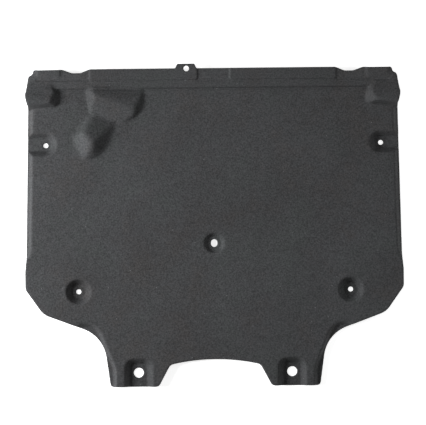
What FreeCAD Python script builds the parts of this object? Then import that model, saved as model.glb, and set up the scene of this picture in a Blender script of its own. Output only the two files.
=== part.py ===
"""Engine splash shield: one compression-moulded felt panel.

The shield lies with its road side up on the floors of its screw recesses.
X runs across the car, Y towards the front flange and Z up, in millimetres.
The origin is the middle of the footprint at the resting plane.
"""
import math
import os

import FreeCAD
import Part
from FreeCAD import Vector

os.makedirs("parts", exist_ok=True)

# sheet
SHEET = 4.0                # felt thickness after pressing
RECESS_DEPTH = 15.0        # drop from the panel face to the screw seats
PANEL_TOP = RECESS_DEPTH + SHEET
WALL_ANGLE = 55.0          # slope of the recess walls
RIM_RADIUS = 5.0           # convex bend at the top of a wall, on the road side
TOE_RADIUS = 4.0           # concave bend at the foot of a wall, on the road side

# outline
FRONT_EDGE = 323.5
TAB_EDGE = 333.0
REAR_EDGE = -333.0
SIDE_FRONT = (381.6, 243.0)
SIDE_REAR = (388.0, -68.0)
WIDEST = 390.6
SHOULDER = (387.4, 266.0)  # widest point beside the corner bump
CORNER = (380.5, 311.0)    # where the side edge turns into the front
NOTCH = (0.0, -268.0)      # top of the shallow arc between the legs
NOTCH_RADIUS = 400.0

# screw places, measured from the middle line
SIDE_PLACES = {"left": (-347.5, 169.3, 11.3), "right": (344.5, 168.7, 10.0)}
SIDE_HOLE = (346.0, 167.0)
DISH_X = 281.0
DISH_Y = -135.5
DISH_FLOOR = 13.5
LEG_X = 158.5
LEG_HOLE_Y = -304.0
LEG_SEAT_FRONT = -287.0
LEG_SEAT_HALF = 16.4
LEG_SEAT_CORNER = 8.0
SCREW_HOLE = 10.2
DISH_HOLE = 10.4
LEG_HOLE = 20.4
SLOT_Y = -37.5
SLOT_WIDTH = 13.0
SLOT_LENGTH = 16.0
SLOT_DISH_DEPTH = 8.0
SLOT_DISH_FLOOR = 13.4
TAB_HOLE = (-54.0, TAB_EDGE - 10.0)
TAB_HOLE_SIZE = 11.4

# front flange
STEP_Y = 284.0             # foot of the step from the panel to the flange
STEP_RISE = 5.0
STEP_RUN = 3.5
CREASE_Y = 300.5
CREASE_RISE = 1.0
PAD_RISE = 2.5
PAD_RUN = 2.5
PAD_RADIUS = 6.0
PADS = [                   # left edge, right edge and rear edge of each raised land
    (-255.0, -30.0, CREASE_Y),
    (34.0, 256.0, CREASE_Y),
    (-364.0, -313.0, 309.0),
    (316.0, 364.0, 309.0),
]

# edge flanges
SIDE_FLOOR = 12.0
SIDE_DROP = 10.0           # drop of the flange along each side edge
SIDE_CREASE_FRONT = 368.5  # crease of the side flange under the corner bump
SIDE_CREASE_REAR = 375.5   # and where it ends near the rear corner
SIDE_CREASE_START = 252.0
SIDE_CREASE_END = -50.0
REAR_DROP = 9.0            # drop of the flange round the hollow beside each leg
REAR_FLOOR = 27.0
REAR_FLANGE = [
    (267.0, -236.0),
    (240.0, -302.0),
    (240.0, REAR_EDGE - 90.0),
    (330.0, REAR_EDGE - 90.0),
    (330.0, -285.0),
]

REACH = 900.0              # longer than anything in the part
SKY = 70.0                 # higher than anything in the part
ROOT = -12.0               # lower than anything in the part
BULGE_ROOM = 30.0          # more than any bulge rises over the panel face


def unit(dx, dy):
    length = math.hypot(dx, dy)
    return dx / length, dy / length


def rounded_wire(corners, z):
    """Closed wire through corners (x, y, radius), each corner turned into an arc."""
    count = len(corners)
    starts, edges = [], []
    for i in range(count):
        x, y, radius = corners[i]
        before, after = corners[i - 1], corners[(i + 1) % count]
        ax, ay = unit(before[0] - x, before[1] - y)
        bx, by = unit(after[0] - x, after[1] - y)
        half = math.acos(max(-1.0, min(1.0, ax * bx + ay * by))) / 2
        cut = radius / math.tan(half)
        first = Vector(x + ax * cut, y + ay * cut, z)
        last = Vector(x + bx * cut, y + by * cut, z)
        mx, my = unit(ax + bx, ay + by)
        reach = radius / math.sin(half) - radius
        starts.append((first, Vector(x + mx * reach, y + my * reach, z), last))
    for i in range(count):
        first, middle, last = starts[i]
        if corners[i][2] > 0:
            edges.append(Part.Arc(first, middle, last).toShape())
        following = starts[(i + 1) % count][0]
        if last.distanceToPoint(following) > 1e-6:
            edges.append(Part.LineSegment(last, following).toShape())
    return Part.Wire(edges)


def prism(corners, low, high):
    """Upright solid over a rounded outline."""
    face = Part.Face(rounded_wire(corners, low))
    return face.extrude(Vector(0, 0, high - low))


def mirrored(corners):
    """The same outline on the other side of the middle line, in the same turning sense."""
    return [(-x, y, radius) for x, y, radius in reversed(corners)]


def inset(corners, distance):
    """The outline drawn distance further in, with its corner arcs kept concentric."""
    moved = []
    for i in range(len(corners)):
        x, y, radius = corners[i]
        before, after = corners[i - 1], corners[(i + 1) % len(corners)]
        ax, ay = unit(x - before[0], y - before[1])
        bx, by = unit(after[0] - x, after[1] - y)
        stretch = distance / (1 + ax * bx + ay * by)
        convex = ax * by - ay * bx > 0
        moved.append((
            x - (ay + by) * stretch,
            y + (ax + bx) * stretch,
            max(radius - distance, 1.0) if convex else radius + distance,
        ))
    return moved


def drafted(corners, low, high, run):
    """Solid over an outline whose walls lean in by run between low and high."""
    foot = rounded_wire(corners, low)
    head = rounded_wire(inset(corners, run), high)
    return Part.makeLoft([foot, head], True, True)


def under_plane(x, y, z, faces, slope):
    """Everything below a plane through (x, y, z) that falls towards the bearing faces."""
    slab = Part.makeBox(2 * REACH, 2 * REACH, REACH, Vector(-REACH, -REACH, -REACH))
    slab.rotate(Vector(0, 0, 0), Vector(0, 1, 0), slope)
    slab.rotate(Vector(0, 0, 0), Vector(0, 0, 1), faces)
    slab.translate(Vector(x, y, z))
    return slab


def recess_mouth(floor_half, depth):
    """Half width of a recess where it meets the panel face."""
    lean = math.radians(WALL_ANGLE)
    bends = RIM_RADIUS + TOE_RADIUS
    wall = (depth - bends * (1 - math.cos(lean))) / math.tan(lean)
    return floor_half + bends * math.sin(lean) + wall


def recess_section(floor_half, depth, offset):
    """Half section of a recess in the XZ plane: floor, toe bend, wall, rim bend.

    offset is 0 for the road face and SHEET for the hidden face, which keeps the
    two faces parallel all the way down the wall.
    """
    lean = math.radians(WALL_ANGLE)
    rim, toe = RIM_RADIUS - offset, TOE_RADIUS + offset
    top, floor = PANEL_TOP - offset, PANEL_TOP - depth - offset
    mouth = recess_mouth(floor_half, depth)
    half = lean / 2

    def toe_point(angle):
        return Vector(floor_half + toe * math.sin(angle), 0, floor + toe * (1 - math.cos(angle)))

    def rim_point(angle):
        return Vector(mouth - rim * math.sin(angle), 0, top - rim * (1 - math.cos(angle)))

    axis_low, axis_high = Vector(0, 0, floor), Vector(0, 0, SKY)
    edges = [
        Part.LineSegment(axis_low, toe_point(0)).toShape(),
        Part.Arc(toe_point(0), toe_point(half), toe_point(lean)).toShape(),
        Part.LineSegment(toe_point(lean), rim_point(lean)).toShape(),
        Part.Arc(rim_point(lean), rim_point(half), rim_point(0)).toShape(),
        Part.LineSegment(rim_point(0), Vector(mouth, 0, SKY)).toShape(),
        Part.LineSegment(Vector(mouth, 0, SKY), axis_high).toShape(),
        Part.LineSegment(axis_high, axis_low).toShape(),
    ]
    return Part.Face(Part.Wire(edges))


def recess(centres, floor_half, depth, offset):
    """Cutter for a recess whose floor is the outline of centres widened by floor_half.

    One centre makes a round dish, two a trough, and more a flat-floored tray. The
    centres run anticlockwise.
    """
    section = recess_section(floor_half, depth, offset)
    count = len(centres)
    if count == 1:
        dish = section.revolve(Vector(0, 0, 0), Vector(0, 0, 1), 360)
        dish.translate(Vector(centres[0][0], centres[0][1], 0))
        return dish
    pieces = []
    bearings = []
    for i in range(count):
        (x, y), (following_x, following_y) = centres[i], centres[(i + 1) % count]
        bearings.append(math.degrees(math.atan2(following_y - y, following_x - x)) - 90)
    for i in range(count):
        x, y = centres[i]
        following_x, following_y = centres[(i + 1) % count]
        wall = section.copy()
        wall.rotate(Vector(0, 0, 0), Vector(0, 0, 1), bearings[i])
        wall.translate(Vector(x, y, 0))
        pieces.append(wall.extrude(Vector(following_x - x, following_y - y, 0)))
        turn = (bearings[i] - bearings[i - 1]) % 360
        corner = section.revolve(Vector(0, 0, 0), Vector(0, 0, 1), turn)
        corner.rotate(Vector(0, 0, 0), Vector(0, 0, 1), bearings[i - 1])
        corner.translate(Vector(x, y, 0))
        pieces.append(corner)
    if count > 2:
        floor = PANEL_TOP - depth - offset
        plan = Part.makePolygon([Vector(x, y, floor) for x, y in centres + centres[:1]])
        pieces.append(Part.Face(plan).extrude(Vector(0, 0, SKY - floor)))
    return pieces[0].fuse(pieces[1:]).removeSplitter()


def shield_outline():
    """Cut edge of the panel, anticlockwise from the front of the right side."""
    right = [
        (93.0, -288.0, 14.0),
        (117.0, REAR_EDGE, 11.0),
        (216.5, REAR_EDGE, 8.0),
        (231.0, -228.0, 72.0),
        (354.0, -182.0, 40.0),
        (WIDEST, -130.0, 15.0),
        (WIDEST, -92.0, 30.0),
        (*SIDE_REAR, 30.0),
        (*SIDE_FRONT, 4.0),
        (*SHOULDER, 30.0),
        (*CORNER, 7.0),
        (371.3, 314.5, 2.0),
        (369.5, FRONT_EDGE, 5.0),
        (310.0, FRONT_EDGE, 12.0),
        (290.0, 315.8, 14.0),
        (272.0, 315.8, 14.0),
        (254.0, FRONT_EDGE, 12.0),
    ]
    tab = [
        (-33.0, FRONT_EDGE, 2.0),
        (-37.0, TAB_EDGE, 4.0),
        (-73.0, TAB_EDGE, 4.0),
        (-77.0, FRONT_EDGE, 2.0),
    ]
    return right + tab + mirrored(right) + [(*NOTCH, NOTCH_RADIUS)]


def stepped_body(offset):
    """Block under the panel face with the stair up to the front flange."""
    shift = offset * math.tan(math.atan2(STEP_RISE, STEP_RUN) / 2)
    top = PANEL_TOP - offset
    profile = [
        (-REACH, -SKY),
        (-REACH, top),
        (STEP_Y + shift, top),
        (STEP_Y + STEP_RUN + shift, top + STEP_RISE),
        (CREASE_Y + shift, top + STEP_RISE),
        (CREASE_Y + CREASE_RISE + shift, top + STEP_RISE + CREASE_RISE),
        (REACH, top + STEP_RISE + CREASE_RISE),
        (REACH, -SKY),
    ]
    points = [Vector(-REACH, y, z) for y, z in profile]
    face = Part.Face(Part.makePolygon(points + points[:1]))
    return face.extrude(Vector(2 * REACH, 0, 0))


def flange_pad(left, right, rear, offset):
    """Raised land on the front flange between two X places, open to the cut edge."""
    shift = offset * math.tan(math.atan2(PAD_RISE, PAD_RUN) / 2)
    base = PANEL_TOP + STEP_RISE + CREASE_RISE - offset
    corners = [
        (left, rear, PAD_RADIUS),
        (right, rear, PAD_RADIUS),
        (right, REACH, PAD_RADIUS),
        (left, REACH, PAD_RADIUS),
    ]
    return drafted(inset(corners, shift), base, base + PAD_RISE, PAD_RUN)


def cut_down(body, facets, offset):
    """The body kept below planes (x, y, z, bearing they fall to, slope)."""
    for x, y, z, faces, slope in facets:
        drop = offset / math.cos(math.radians(slope))
        body = body.common(under_plane(x, y, z - drop, faces, slope))
    return body.Solids[0]


def bump(corners, lean, facets, radius, offset):
    """Raised form with walls leaning in over an outline, under falling planes.

    lean is how far a wall leans in for each millimetre of height. The outline
    lies in the panel face.
    """
    level = PANEL_TOP - offset
    ceiling = level + BULGE_ROOM
    shrink = offset * math.tan(math.atan2(1, lean) / 2)
    foot = inset(corners, shrink - lean * (level - ROOT))
    body = cut_down(drafted(foot, ROOT, ceiling, lean * (ceiling - ROOT)), facets, offset)
    ridges = [edge for edge in body.Edges if edge.BoundBox.ZMin > level]
    return body.makeFillet(radius - offset, ridges)


def blister(facets, radius, offset):
    """Raised form on the left, bounded by planes that meet the panel face around it."""
    facets = [(x, y, PANEL_TOP, faces, slope) for x, y, faces, slope in facets]
    height = PANEL_TOP + BULGE_ROOM - ROOT
    body = Part.makeBox(REACH, 2 * REACH, height, Vector(-REACH, -REACH, ROOT))
    body = cut_down(body, facets, offset)
    ridges = [edge for edge in body.Edges if edge.BoundBox.ZMax > ROOT + 1]
    return body.makeFillet(radius - offset, ridges)


# blisters, as planes (x, y, bearing they fall to, slope) through points of the panel face
FRONT_BLISTER = [
    (-141.0, 286.0, 70.0, 17.5),
    (-226.0, 295.0, 90.0, 50.0),
    (-258.0, 252.0, 188.0, 44.0),
    (-222.0, 219.0, 255.0, 21.0),
    (-176.0, 215.0, 294.0, 50.0),
    (-156.0, 227.0, 314.0, 49.0),
    (-146.0, 245.0, 338.0, 47.0),
    (-142.0, 268.0, 357.0, 46.0),
]
REAR_BLISTER = [
    (-217.0, 222.0, 65.0, 24.0),
    (-271.5, 204.0, 144.0, 72.0),
    (-288.4, 175.7, 206.0, 40.0),
    (-258.0, 135.5, 250.0, 55.0),
    (-246.0, 139.0, 286.0, 46.0),
    (-231.0, 148.0, 312.0, 43.0),
    (-213.5, 180.0, 336.0, 42.0),
]
BLISTER_RADIUS = 12.0

# corner bump: outline corners, then planes as (x, y, z, bearing they fall to, slope)
CORNER_BUMP = [
    (313.0, 246.0, 12.0),
    (430.0, 230.0, 12.0),
    (430.0, 304.0, 12.0),
    (334.0, 304.0, 14.0),
    (318.0, 280.0, 20.0),
]
CORNER_BUMP_PLANES = [
    (350.0, 302.0, PANEL_TOP + STEP_RISE, 90.0, 20.0),
    (313.5, 265.0, PANEL_TOP, 180.0, 42.0),
]
CORNER_BUMP_LEAN = 0.58
CORNER_BUMP_RADIUS = 6.0


def mirror_shape(shape):
    return shape.mirror(Vector(0, 0, 0), Vector(1, 0, 0))


def side_flange(offset):
    """Step down to the cut edge along the right side, ending short of the rear corner."""
    mouth = recess_mouth(SIDE_FLOOR, SIDE_DROP)
    front_x, rear_x = SIDE_CREASE_FRONT + mouth, SIDE_CREASE_REAR + mouth
    centres = [
        (front_x, SIDE_CREASE_START),
        (rear_x, SIDE_CREASE_END),
        (REACH, SIDE_CREASE_END),
        (REACH, SIDE_CREASE_START),
    ]
    return recess(centres, SIDE_FLOOR, SIDE_DROP, offset)


def rear_flange(offset):
    """Step down round the hollow between the right leg and the rear corner."""
    return recess(REAR_FLANGE, REAR_FLOOR, REAR_DROP, offset)


def leg_seat(offset):
    """Flat-floored tray at the right leg's hole, open to the rear edge."""
    half = LEG_SEAT_HALF - LEG_SEAT_CORNER
    centres = [
        (LEG_X - half, -REACH),
        (LEG_X + half, -REACH),
        (LEG_X + half, LEG_SEAT_FRONT - LEG_SEAT_CORNER),
        (LEG_X - half, LEG_SEAT_FRONT - LEG_SEAT_CORNER),
    ]
    return recess(centres, LEG_SEAT_CORNER, RECESS_DEPTH, offset)


def face_form(offset):
    """Everything under one face of the sheet: offset 0 road side, SHEET hidden side."""
    flanges = [side_flange(offset), rear_flange(offset)]
    flanges += [mirror_shape(flange) for flange in flanges]
    body = stepped_body(offset).cut(flanges)
    corner = bump(CORNER_BUMP, CORNER_BUMP_LEAN, CORNER_BUMP_PLANES, CORNER_BUMP_RADIUS, offset)
    body = body.fuse([flange_pad(*pad, offset) for pad in PADS] + [
        blister(FRONT_BLISTER, BLISTER_RADIUS, offset),
        blister(REAR_BLISTER, BLISTER_RADIUS, offset),
        corner,
        mirror_shape(corner),
    ])
    hollows = [recess([(0.0, SLOT_Y)], SLOT_DISH_FLOOR, SLOT_DISH_DEPTH, offset)]
    for x, y, floor_half in SIDE_PLACES.values():
        outward = math.copysign(REACH, x)
        hollows.append(recess([(x, y), (outward, y)], floor_half, RECESS_DEPTH, offset))
    pair = [recess([(DISH_X, DISH_Y)], DISH_FLOOR, RECESS_DEPTH, offset), leg_seat(offset)]
    return body.cut(hollows + pair + [mirror_shape(hollow) for hollow in pair])


def drill(x, y, size):
    return Part.makeCylinder(size / 2, SKY, Vector(x, y, -1))


def slot(x, y, width, length):
    """Straight-sided slot with round ends, long along Y."""
    half = (length - width) / 2
    block = Part.makeBox(width, 2 * half, SKY, Vector(x - width / 2, y - half, -1))
    return block.fuse([drill(x, y - half, width), drill(x, y + half, width)])


def build():
    sheet = prism(shield_outline(), -1.0, SKY - 1.0).common(face_form(0.0))
    sheet = sheet.cut(face_form(SHEET))
    holes = [slot(0.0, SLOT_Y, SLOT_WIDTH, SLOT_LENGTH), drill(*TAB_HOLE, TAB_HOLE_SIZE)]
    for side in (-1, 1):
        holes.append(drill(side * SIDE_HOLE[0], SIDE_HOLE[1], SCREW_HOLE))
        holes.append(drill(side * DISH_X, DISH_Y, DISH_HOLE))
        holes.append(drill(side * LEG_X, LEG_HOLE_Y, LEG_HOLE))
    return sheet.cut(holes).Solids[0]


if __name__ == "__main__":
    shield = build()
    print(shield.ShapeType, len(shield.Solids), shield.Volume / 1000, shield.isValid())
    print(shield.optimalBoundingBox())
    shield.exportStep("parts/shield_panel.step")
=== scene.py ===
"""Felt engine splash shield on a white studio table, seen from straight above.

Metres throughout: x to the right, y to the front edge, z up on the road side.
"""
import math

import bmesh
import bpy
import numpy as np
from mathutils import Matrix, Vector


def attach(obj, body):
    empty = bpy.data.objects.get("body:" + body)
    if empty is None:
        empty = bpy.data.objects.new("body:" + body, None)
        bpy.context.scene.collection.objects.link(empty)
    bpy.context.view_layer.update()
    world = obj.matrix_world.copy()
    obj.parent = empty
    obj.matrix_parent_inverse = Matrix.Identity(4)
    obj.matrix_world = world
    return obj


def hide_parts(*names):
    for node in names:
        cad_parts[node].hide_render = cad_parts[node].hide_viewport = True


# mesh of the felt
VOXEL = 0.0016             # grid the moulded sheet is redrawn on
WELD = 1e-6                # points closer than this are one
TRIANGLES = 190_000        # most triangles the panel may have
EVEN_PASSES = 3            # pairs of smoothing passes over the whole sheet
DRAW = 0.5                 # share of the way to the neighbours' mean in one pass
KEEP = -0.53               # share taken back after it, so that openings keep their size
SOFT_PASSES = 60           # smoothing passes over the bulges

PANEL_TOP = 0.019          # height of the panel's road side

# bulges, as (x, y, radius, share): where the felt was pressed over a soft form
SOFT_ZONES = [
    (-0.195, 0.255, 0.095, 0.3),
    (-0.245, 0.178, 0.070, 1.0),
    (0.345, 0.270, 0.075, 0.3),
    (-0.345, 0.270, 0.075, 0.4),
]
ZONE_CORE = 0.5            # share of the radius with the full weight

# front flange: its pressed step lies a little behind its nominal line
SLIP = 0.0030              # how far the felt slipped towards the rear
SLIP_REAR = (0.266, 0.279)
SLIP_FRONT = (0.305, 0.316)

# creases pressed into the road side along the front flange,
# as (y, depth, half width, half length)
CREASES = [
    (0.2990, 0.0022, 0.0019, 0.366),
    (0.2815, 0.0016, 0.0024, 0.322),
]
CREASE_FADE = 0.004        # length over which a crease runs out
CREASE_BEND = (0.10, 0.37, 0.0034)   # the first one bends forward at the left end
FACES_UP = 0.5             # least upward part of a normal on the road side

# corner bumps: how far the felt leans to the rear for each metre of height
BUMP_LEAN = 0.15
BUMP_ZONE = (0.352, 0.262, 0.085)    # x, y, radius
BUMP_FADE = (0.75, 1.0)              # shares of the radius where the lean runs out

# rear walls of the corner bumps: they run squarer than the mould's
WALL_TURN = 0.085          # shift to the front for each metre outwards
WALL_INNER = 0.305
WALL_REAR = (0.205, 0.228)
WALL_FRONT = (0.262, 0.300)

# felt colours, as (place on the noise, colour)
FLECK = [
    (0.30, (0.026, 0.0262, 0.0264, 1)),
    (0.72, (0.083, 0.0835, 0.084, 1)),
]
CLOUD = [
    (0.32, (0.80, 0.79, 0.785, 1)),
    (0.68, (1.07, 1.075, 1.08, 1)),
]
TINT = [
    (0.36, (1.0, 0.95, 0.94, 1)),
    (0.50, (0.965, 0.97, 1.0, 1)),
    (0.64, (0.935, 0.985, 0.975, 1)),
]
FELT_ROUGHNESS = 0.75
FELT_SPECULAR = 0.25
FIBRE_HEIGHT = 0.0006

# pale fibres lying in the felt
LINT = (0.15, 0.15, 0.155, 1)
LINT_SIZE = 0.10           # share of a cell that the fibre fills
LINT_RARE = 0.80           # share of the cells that stay without one

# table and light
TABLE_WHITE = (0.9, 0.9, 0.9, 1)
TABLE_ROUGHNESS = 0.6
TABLE_GLOW = 0.76
TABLE_TOP = -0.0001        # just under the lowest fibres
TABLE_REACH = 4.0
AMBIENT = 0.13
ROOM_TINT = (1.0, 0.97, 0.94, 1)
COOL = (0.97, 0.985, 1.0)
LIGHT_SIZE = 0.7
LIGHTS = {
    "left": ((-1.75, 0.0, 1.15), 52.0),
    "left_low": ((-1.7, 0.05, 0.55), 12.0),
    "right_low": ((1.6, 0.3, 0.9), 8.0),
}

# camera
DISTANCE = 8.0
PIXEL = 0.002063           # width of one pixel at the panel face
IMAGE_WIDTH = 426
SENSOR = 36.0
ROLL = math.radians(0.59)
LOOK_AT = (-0.0018, 0.0256, 0.019)

# sockets of a mix node that mixes colours
MIX_SHARE = 0
MIX_FIRST = 6
MIX_SECOND = 7
MIX_RESULT = 2


def placed(name, data):
    """New object that holds data, in the scene."""
    made = bpy.data.objects.new(name, data)
    bpy.context.scene.collection.objects.link(made)
    return made


def with_modifiers(item):
    """New mesh of an object as its modifiers leave it."""
    bpy.context.view_layer.update()
    view = bpy.context.evaluated_depsgraph_get()
    return bpy.data.meshes.new_from_object(item.evaluated_get(view))


def triangle_count(mesh):
    return sum(len(face.vertices) - 2 for face in mesh.polygons)


def redrawn(source):
    """Mesh of an object on an even grid, with its outline and openings kept."""
    mesh = source.data.copy()
    joined = bmesh.new()
    joined.from_mesh(mesh)
    bmesh.ops.remove_doubles(joined, verts=joined.verts, dist=WELD)
    joined.to_mesh(mesh)
    joined.free()
    draft = placed("draft", mesh)
    remesh = draft.modifiers.new("grid", "REMESH")
    remesh.mode = "VOXEL"
    remesh.voxel_size = VOXEL
    result = with_modifiers(draft)
    bpy.data.objects.remove(draft)
    return result


def vectors_of(mesh, kind):
    """One row of three numbers for each vertex: its co or its normal."""
    flat = np.zeros(len(mesh.vertices) * 3)
    mesh.vertices.foreach_get(kind, flat)
    return flat.reshape(-1, 3)


def edges_of(mesh):
    """One row of two vertex numbers for each edge."""
    flat = np.zeros(len(mesh.edges) * 2, dtype=np.int64)
    mesh.edges.foreach_get("vertices", flat)
    return flat.reshape(-1, 2)


def smoothed(points, edges, weights, passes, axes):
    """Points drawn towards the mean of their neighbours, along the given axes only.

    weights is a share for each point; a negative one pushes the points back out.
    """
    first, second = edges[:, 0], edges[:, 1]
    count = np.bincount(np.concatenate([first, second]), minlength=len(points))
    count = np.maximum(count, 1)
    for _ in range(passes):
        for axis in axes:
            values = points[:, axis]
            total = np.bincount(first, values[second], len(points))
            total += np.bincount(second, values[first], len(points))
            points[:, axis] = values + weights * (total / count - values)
    return points


def eased(low, high, values):
    """0 below low, 1 above high, an S curve between."""
    share = np.clip((values - low) / (high - low), 0, 1)
    return share * share * (3 - 2 * share)


def zone_weights(points):
    """Full weight in the middle of a bulge, falling to 0 at its rim."""
    weights = np.zeros(len(points))
    for x, y, radius, most in SOFT_ZONES:
        away = np.hypot(points[:, 0] - x, points[:, 1] - y) / radius
        weights = np.maximum(weights, most * (1 - eased(ZONE_CORE, 1.0, away)))
    return weights


def crease_depth(points):
    """How deep the creases along the front flange are at each point."""
    depth = np.zeros(len(points))
    start, end, bend = CREASE_BEND
    forward = bend * eased(start, end, -points[:, 0])
    for place, deep, half, reach in CREASES:
        off_line = points[:, 1] - place - SLIP - forward
        line = deep * np.exp(-(off_line / half) ** 2)
        depth += line * (1 - eased(reach - CREASE_FADE, reach, np.abs(points[:, 0])))
        forward = 0
    return depth


def bump_shift(points):
    """How far the corner bumps move to the front: their lean and their turned rear walls."""
    side = np.abs(points[:, 0])
    x, y, radius = BUMP_ZONE
    away = np.hypot(side - x, points[:, 1] - y) / radius
    rise = np.clip(points[:, 2] - PANEL_TOP, 0, None)
    lean = BUMP_LEAN * rise * (1 - eased(*BUMP_FADE, away))
    outward = np.clip(side - WALL_INNER, 0, None)
    near_wall = eased(*WALL_REAR, points[:, 1]) * (1 - eased(*WALL_FRONT, points[:, 1]))
    return WALL_TURN * outward * near_wall - lean


def pressed(points, normals):
    """Points with the slipped step, the creases and the corner bumps as they were pressed."""
    slip = eased(*SLIP_REAR, points[:, 1]) * (1 - eased(*SLIP_FRONT, points[:, 1]))
    depth = np.where(normals[:, 2] > FACES_UP, crease_depth(points), 0)
    forward = bump_shift(points) - SLIP * slip
    points[:, 1] += forward
    points[:, 2] -= depth
    return points


def felt_panel(node):
    """The moulded sheet in fine mesh, softened as pressed felt is."""
    mesh = redrawn(node)
    points = vectors_of(mesh, "co")
    edges = edges_of(mesh)
    for _ in range(EVEN_PASSES):
        points = smoothed(points, edges, DRAW, 1, (0, 1, 2))
        points = smoothed(points, edges, KEEP, 1, (0, 1, 2))
    points = smoothed(points, edges, DRAW * zone_weights(points), SOFT_PASSES, (2,))
    points = pressed(points, vectors_of(mesh, "normal"))
    mesh.vertices.foreach_set("co", points.ravel())
    mesh.update()
    sheet = placed("felt_panel", mesh)
    fewer = sheet.modifiers.new("fewer", "DECIMATE")
    fewer.ratio = min(1.0, TRIANGLES / triangle_count(mesh))
    sheet.data = with_modifiers(sheet)
    sheet.modifiers.clear()
    sheet.data.shade_smooth()
    return sheet


def add_node(tree, kind, **values):
    """New node; a value goes to the input of its name, or else to the setting."""
    made = tree.nodes.new(kind)
    for name, value in values.items():
        if name in made.inputs:
            made.inputs[name].default_value = value
        else:
            setattr(made, name, value)
    return made


def add_noise(tree, place, scale, detail, roughness):
    made = add_node(
        tree, "ShaderNodeTexNoise", Scale=scale, Detail=detail, Roughness=roughness
    )
    tree.links.new(place, made.inputs["Vector"])
    return made.outputs["Fac"]


def add_ramp(tree, noise, stops):
    """Colour for each value of a noise, from stops in rising order."""
    made = add_node(tree, "ShaderNodeValToRGB")
    elements = made.color_ramp.elements
    for element, (position, color) in zip(elements, (stops[0], stops[-1])):
        element.position = position
        element.color = color
    for position, color in stops[1:-1]:
        elements.new(position).color = color
    tree.links.new(noise, made.inputs["Fac"])
    return made.outputs["Color"]


def multiplied(tree, first, second):
    """Product of two colours."""
    made = add_node(tree, "ShaderNodeMix", data_type="RGBA", blend_type="MULTIPLY")
    made.inputs[MIX_SHARE].default_value = 1.0
    tree.links.new(first, made.inputs[MIX_FIRST])
    tree.links.new(second, made.inputs[MIX_SECOND])
    return made.outputs[MIX_RESULT]


def compared(tree, source, operation, limit):
    """1 where the source is on the asked side of the limit, else 0."""
    made = add_node(tree, "ShaderNodeMath", operation=operation)
    tree.links.new(source, made.inputs[0])
    made.inputs[1].default_value = limit
    return made.outputs["Value"]


def with_lint(tree, place, color):
    """The colour with a few pale fibres in it."""
    cells = add_node(tree, "ShaderNodeTexVoronoi", Scale=110.0)
    tree.links.new(place, cells.inputs["Vector"])
    near = compared(tree, cells.outputs["Distance"], "LESS_THAN", LINT_SIZE)
    few = compared(tree, cells.outputs["Color"], "GREATER_THAN", LINT_RARE)
    fibre = add_node(tree, "ShaderNodeMath", operation="MULTIPLY")
    tree.links.new(near, fibre.inputs[0])
    tree.links.new(few, fibre.inputs[1])
    made = add_node(tree, "ShaderNodeMix", data_type="RGBA")
    tree.links.new(fibre.outputs["Value"], made.inputs[MIX_SHARE])
    tree.links.new(color, made.inputs[MIX_FIRST])
    made.inputs[MIX_SECOND].default_value = LINT
    return made.outputs[MIX_RESULT]


def felt_material():
    """Dark grey needle felt: flecks of paler fibre, soft mottling, lint, fibre bump."""
    material = bpy.data.materials.new("needle_felt")
    material.use_nodes = True
    tree = material.node_tree
    shader = tree.nodes["Principled BSDF"]
    shader.inputs["Roughness"].default_value = FELT_ROUGHNESS
    shader.inputs["Specular IOR Level"].default_value = FELT_SPECULAR
    place = add_node(tree, "ShaderNodeTexCoord").outputs["Object"]
    fleck = add_noise(tree, place, 330.0, 3.0, 0.65)
    cloud = add_noise(tree, place, 5.0, 7.0, 0.72)
    stray = add_noise(tree, place, 9.0, 7.0, 0.78)
    grey = multiplied(tree, add_ramp(tree, fleck, FLECK), add_ramp(tree, cloud, CLOUD))
    felt = multiplied(tree, grey, add_ramp(tree, stray, TINT))
    tree.links.new(with_lint(tree, place, felt), shader.inputs["Base Color"])
    fibres = add_node(tree, "ShaderNodeBump", Strength=0.6, Distance=FIBRE_HEIGHT)
    tree.links.new(fleck, fibres.inputs["Height"])
    tree.links.new(fibres.outputs["Normal"], shader.inputs["Normal"])
    return material


def table_material():
    material = bpy.data.materials.new("white_table")
    material.use_nodes = True
    shader = material.node_tree.nodes["Principled BSDF"]
    shader.inputs["Base Color"].default_value = TABLE_WHITE
    shader.inputs["Roughness"].default_value = TABLE_ROUGHNESS
    shader.inputs["Emission Color"].default_value = (1, 1, 1, 1)
    shader.inputs["Emission Strength"].default_value = TABLE_GLOW
    return material


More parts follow.
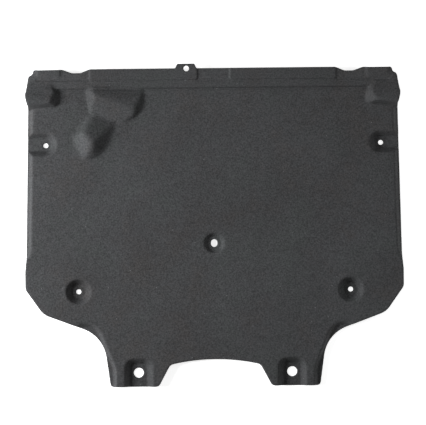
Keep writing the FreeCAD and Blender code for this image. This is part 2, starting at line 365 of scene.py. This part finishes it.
def studio_table():
    corners = [
        (-TABLE_REACH, -TABLE_REACH, TABLE_TOP),
        (TABLE_REACH, -TABLE_REACH, TABLE_TOP),
        (TABLE_REACH, TABLE_REACH, TABLE_TOP),
        (-TABLE_REACH, TABLE_REACH, TABLE_TOP),
    ]
    mesh = bpy.data.meshes.new("table")
    mesh.from_pydata(corners, [], [(0, 1, 2, 3)])
    mesh.materials.append(table_material())
    return placed("table", mesh)


def soft_light(name, place, power):
    """Square lamp that faces the middle of the panel."""
    data = bpy.data.lights.new(name, "AREA")
    data.shape = "RECTANGLE"
    data.size = LIGHT_SIZE
    data.size_y = LIGHT_SIZE
    data.energy = power
    data.color = COOL
    lamp = placed(name, data)
    lamp.location = place
    lamp.rotation_euler = (-Vector(place)).to_track_quat("-Z", "Y").to_euler()


def room(scene):
    """Even, faint light from all round."""
    world = bpy.data.worlds.new("room")
    world.use_nodes = True
    background = world.node_tree.nodes["Background"]
    background.inputs["Color"].default_value = ROOM_TINT
    background.inputs["Strength"].default_value = AMBIENT
    scene.world = world


def camera_above(scene):
    """Camera that looks straight down on the panel."""
    data = bpy.data.cameras.new("camera")
    data.sensor_width = SENSOR
    data.lens = SENSOR * DISTANCE / (IMAGE_WIDTH * PIXEL)
    camera = placed("camera", data)
    camera.location = Vector(LOOK_AT) + Vector((0, 0, DISTANCE))
    camera.rotation_euler = (0, 0, -ROLL)
    scene.camera = camera


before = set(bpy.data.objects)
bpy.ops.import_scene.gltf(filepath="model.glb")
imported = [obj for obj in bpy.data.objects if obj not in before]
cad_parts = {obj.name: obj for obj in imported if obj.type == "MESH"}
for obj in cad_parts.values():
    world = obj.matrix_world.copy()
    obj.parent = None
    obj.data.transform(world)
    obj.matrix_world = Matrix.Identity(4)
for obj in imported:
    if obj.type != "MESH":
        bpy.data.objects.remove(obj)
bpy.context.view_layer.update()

panel = felt_panel(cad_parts["shield_panel"])
panel.data.materials.clear()
panel.data.materials.append(felt_material())
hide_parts("shield_panel")
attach(panel, "root")

table = studio_table()

scene = bpy.context.scene
scene.view_settings.view_transform = "Standard"
room(scene)
for name, (place, power) in LIGHTS.items():
    soft_light(name, place, power)
camera_above(scene)

print("panel triangles", triangle_count(panel.data))
